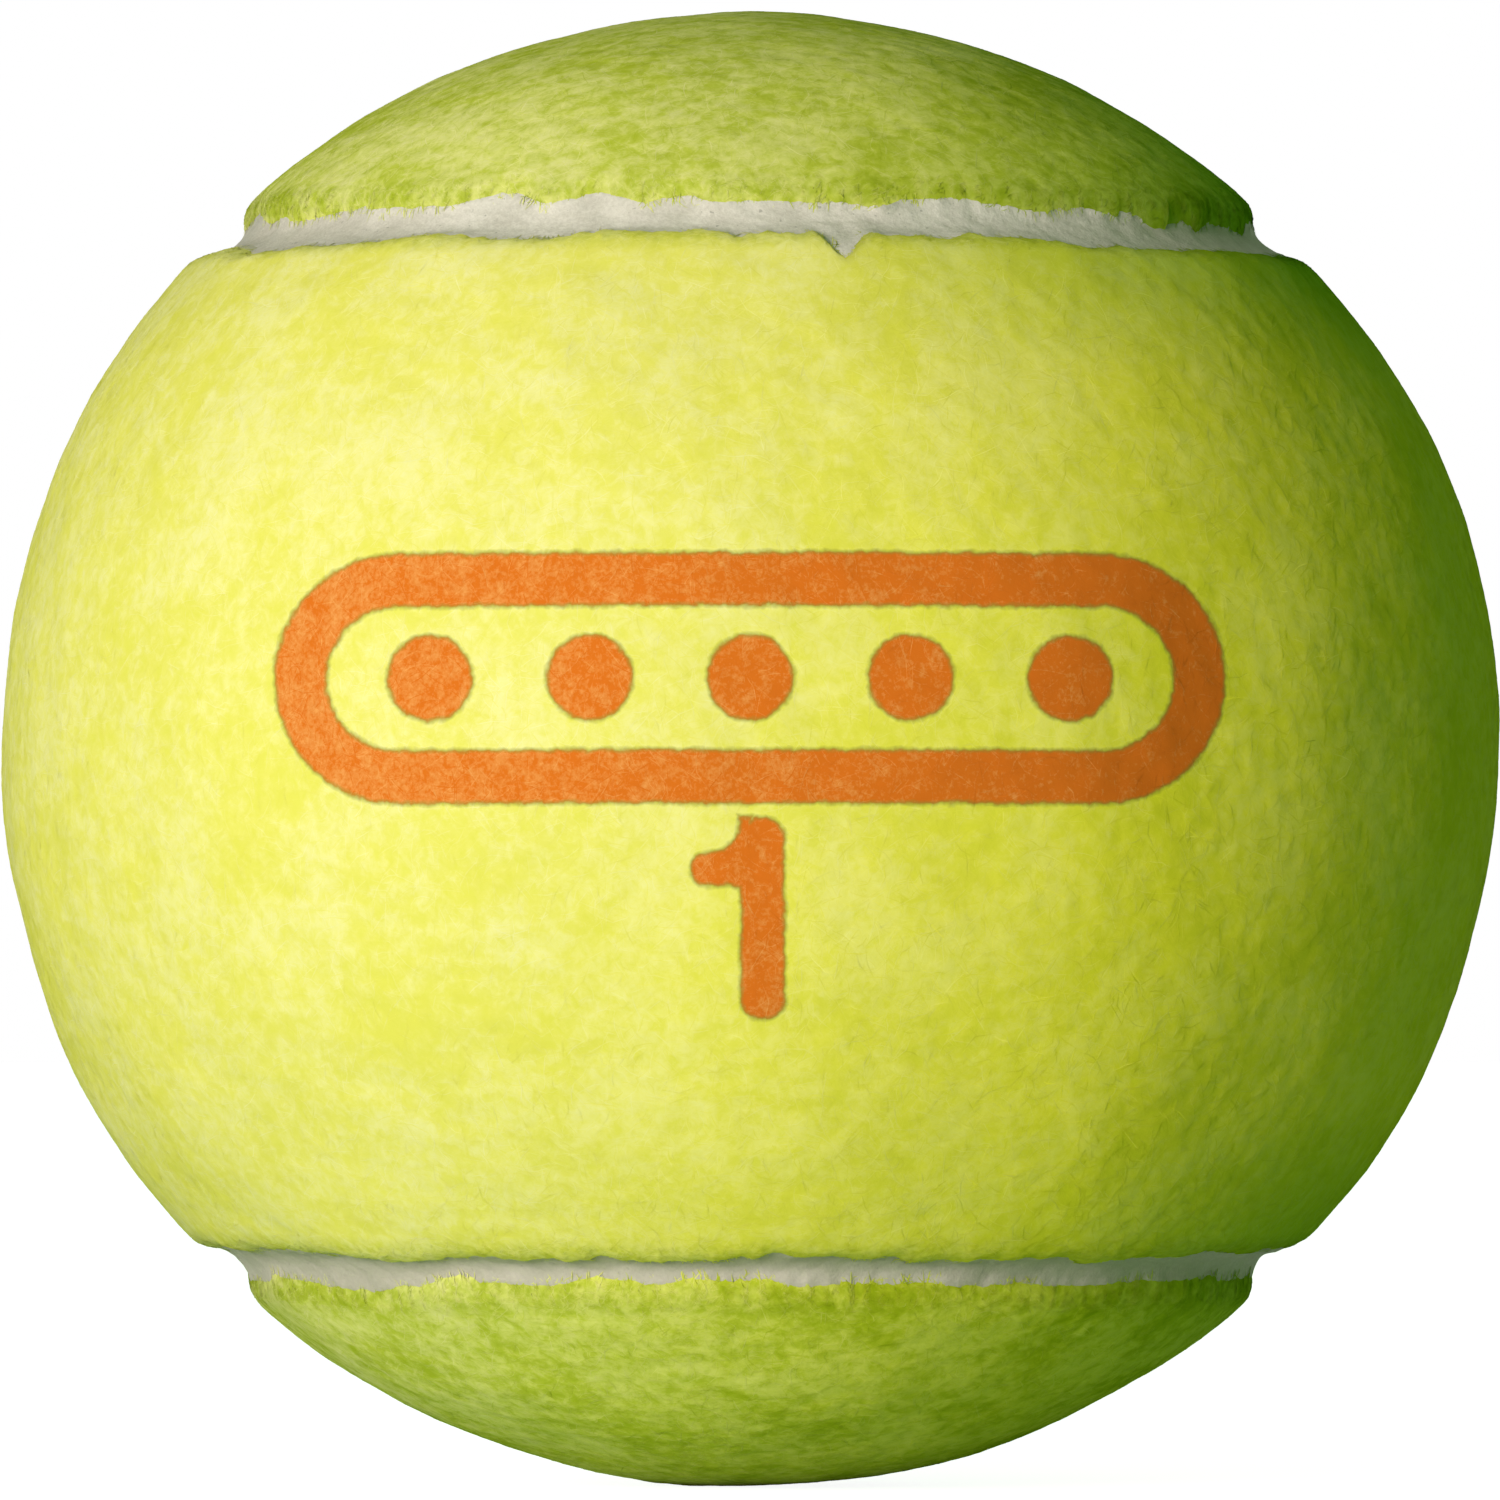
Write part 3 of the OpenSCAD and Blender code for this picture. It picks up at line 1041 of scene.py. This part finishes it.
def mottled_finish(name, dark, light, size, rough, depth):
    f = Finish(name, Roughness=rough)
    tone = f.noise(size, *PLAIN_MOTTLE)
    f.put(f.mix(tone, dark, light), f.shader.inputs["Base Color"])
    f.bump(tone, depth, PLAIN_BUMP)
    return f.material


# The ground cloth: pitch of its yarns and how they stray, its colours in the dips, darker there as
# painted shade, and on top, and the bump's height and strength. BAND_RATE is how many radians
# Blender's bands turn in a unit.
YARN_PITCH = 3.14 * MM
YARN_STRAY = 0.6
BAND_RATE = 20
YARN_DIP_SHADE = colour(0.34, 0.38, 0.08)
YARN_TOP = colour(0.70, 0.72, 0.30)
YARN_BUMP = (0.1 * MM, 0.8)


def weave_finish():
    """Ground cloth: warp and weft as two crossing waves, one over the other."""
    f = Finish("felt_weave", Roughness=0.9)
    scale = 2 * math.pi / (BAND_RATE * YARN_PITCH)
    values = {"Vector": f.place, "Scale": scale, "Distortion": YARN_STRAY, "Detail": 1}
    waves = [
        f.add("ShaderNodeTexWave", values, bands_direction=axis).outputs["Fac"]
        for axis in ("X", "Z")
    ]
    raised = f.calc("MAXIMUM", *waves)
    # Painted shade: the dips between the yarns are darker.
    f.put(f.mix(raised, YARN_DIP_SHADE, YARN_TOP), f.shader.inputs["Base Color"])
    f.bump(raised, *YARN_BUMP)
    return f.material


def dress(piece, material):
    piece.data.materials.clear()
    piece.data.materials.append(material)


def dress_frame():
    """Better materials for the nodes that stay as the model has them."""
    finishes = {name: mottled_finish(name, *values) for name, values in PLAIN_FINISHES.items()}
    finishes["felt_weave"] = weave_finish()
    for part in frame["record"]["subparts"]:
        finish = finishes.get(part["material_slot"])
        if finish is not None:
            dress(frame["nodes"][part["node"]], finish)


def make_cover():
    """The two panels with their fibres, and the seam between them."""
    for side in SIDES:
        skin_finish = nap_finish(f"felt_nap_{side}", False, side)
        fibre_finish = nap_finish(f"felt_fibres_{side}", True, side)
        skin = make_skin(side)
        dress(skin, skin_finish)
        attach(skin, "root")
        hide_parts(f"panel_{side}_nap")
        for piece in make_nap(side):
            dress(piece, fibre_finish)
            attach(piece, "root")
    seam = make_seam()
    dress(seam, seam_finish())
    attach(seam, "root")
    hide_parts("seam_cement")


# Floor, world and lamps
FLOOR_HALF = 3.0
FLOOR_TINT = colour(0.5, 0.75, 0.5)
FLOOR_GLOW = 0.92
FILL_TINT = colour(0.42, 1.0, 0.2)
FILL_LEVEL = 0.14
KEY_WAY = (-0.51, -0.85, 0.09)
KEY_TINT = (1.0, 0.885, 0.88)
KEY_LEVEL = 1.34
KEY_AWAY = 1.2
KEY_SIZE = 0.6


def camera_share(tree):
    """1 where the camera sees a surface, straight or in gloss or glass, and 0 elsewhere."""
    path = tree.nodes.new("ShaderNodeLightPath")
    seen = path.outputs["Is Camera Ray"]
    for name in ("Is Glossy Ray", "Is Transmission Ray"):
        either = tree.nodes.new("ShaderNodeMath")
        either.operation = "MAXIMUM"
        tree.links.new(seen, either.inputs[0])
        tree.links.new(path.outputs[name], either.inputs[1])
        seen = either.outputs[0]
    return seen


def make_studio():
    half = FLOOR_HALF
    corners = np.array([(-half, -half), (half, -half), (half, half), (-half, half)])
    points = np.column_stack([corners, np.full(4, -FACE_R * SQUASH)])
    floor = add_mesh("floor", points, np.array([[0, 1, 2, 3]]), smooth=False)
    f = Finish("floor", Roughness=0.9)
    f.shader.inputs["Base Color"].default_value = FLOOR_TINT
    f.shader.inputs["Emission Color"].default_value = colour(1, 1, 1)
    glow = f.calc("MULTIPLY", camera_share(f.tree), FLOOR_GLOW)
    f.put(glow, f.shader.inputs["Emission Strength"])
    dress(floor, f.material)

    world = bpy.data.worlds.new("world")
    world.use_nodes = True
    bpy.context.scene.world = world
    fill = world.node_tree.nodes["Background"]
    fill.inputs["Color"].default_value = FILL_TINT
    fill.inputs["Strength"].default_value = FILL_LEVEL
    tree = world.node_tree
    white = tree.nodes.new("ShaderNodeBackground")
    white.inputs["Color"].default_value = colour(1, 1, 1)
    both = tree.nodes.new("ShaderNodeMixShader")
    tree.links.new(camera_share(tree), both.inputs[0])
    tree.links.new(fill.outputs[0], both.inputs[1])
    tree.links.new(white.outputs[0], both.inputs[2])
    tree.links.new(both.outputs[0], tree.nodes["World Output"].inputs["Surface"])

    lamp = bpy.data.lights.new("key", "AREA")
    lamp.size = KEY_SIZE
    lamp.color = KEY_TINT
    lamp.energy = KEY_LEVEL * (math.pi * KEY_AWAY) ** 2
    key = bpy.data.objects.new("key", lamp)
    key.location = Vector(KEY_WAY).normalized() * KEY_AWAY
    key.rotation_euler = (-key.location).to_track_quat("-Z", "Y").to_euler()
    bpy.context.scene.collection.objects.link(key)


make_camera()
make_studio()
dress_frame()
make_cover()

bpy.context.scene.view_settings.view_transform = "Standard"
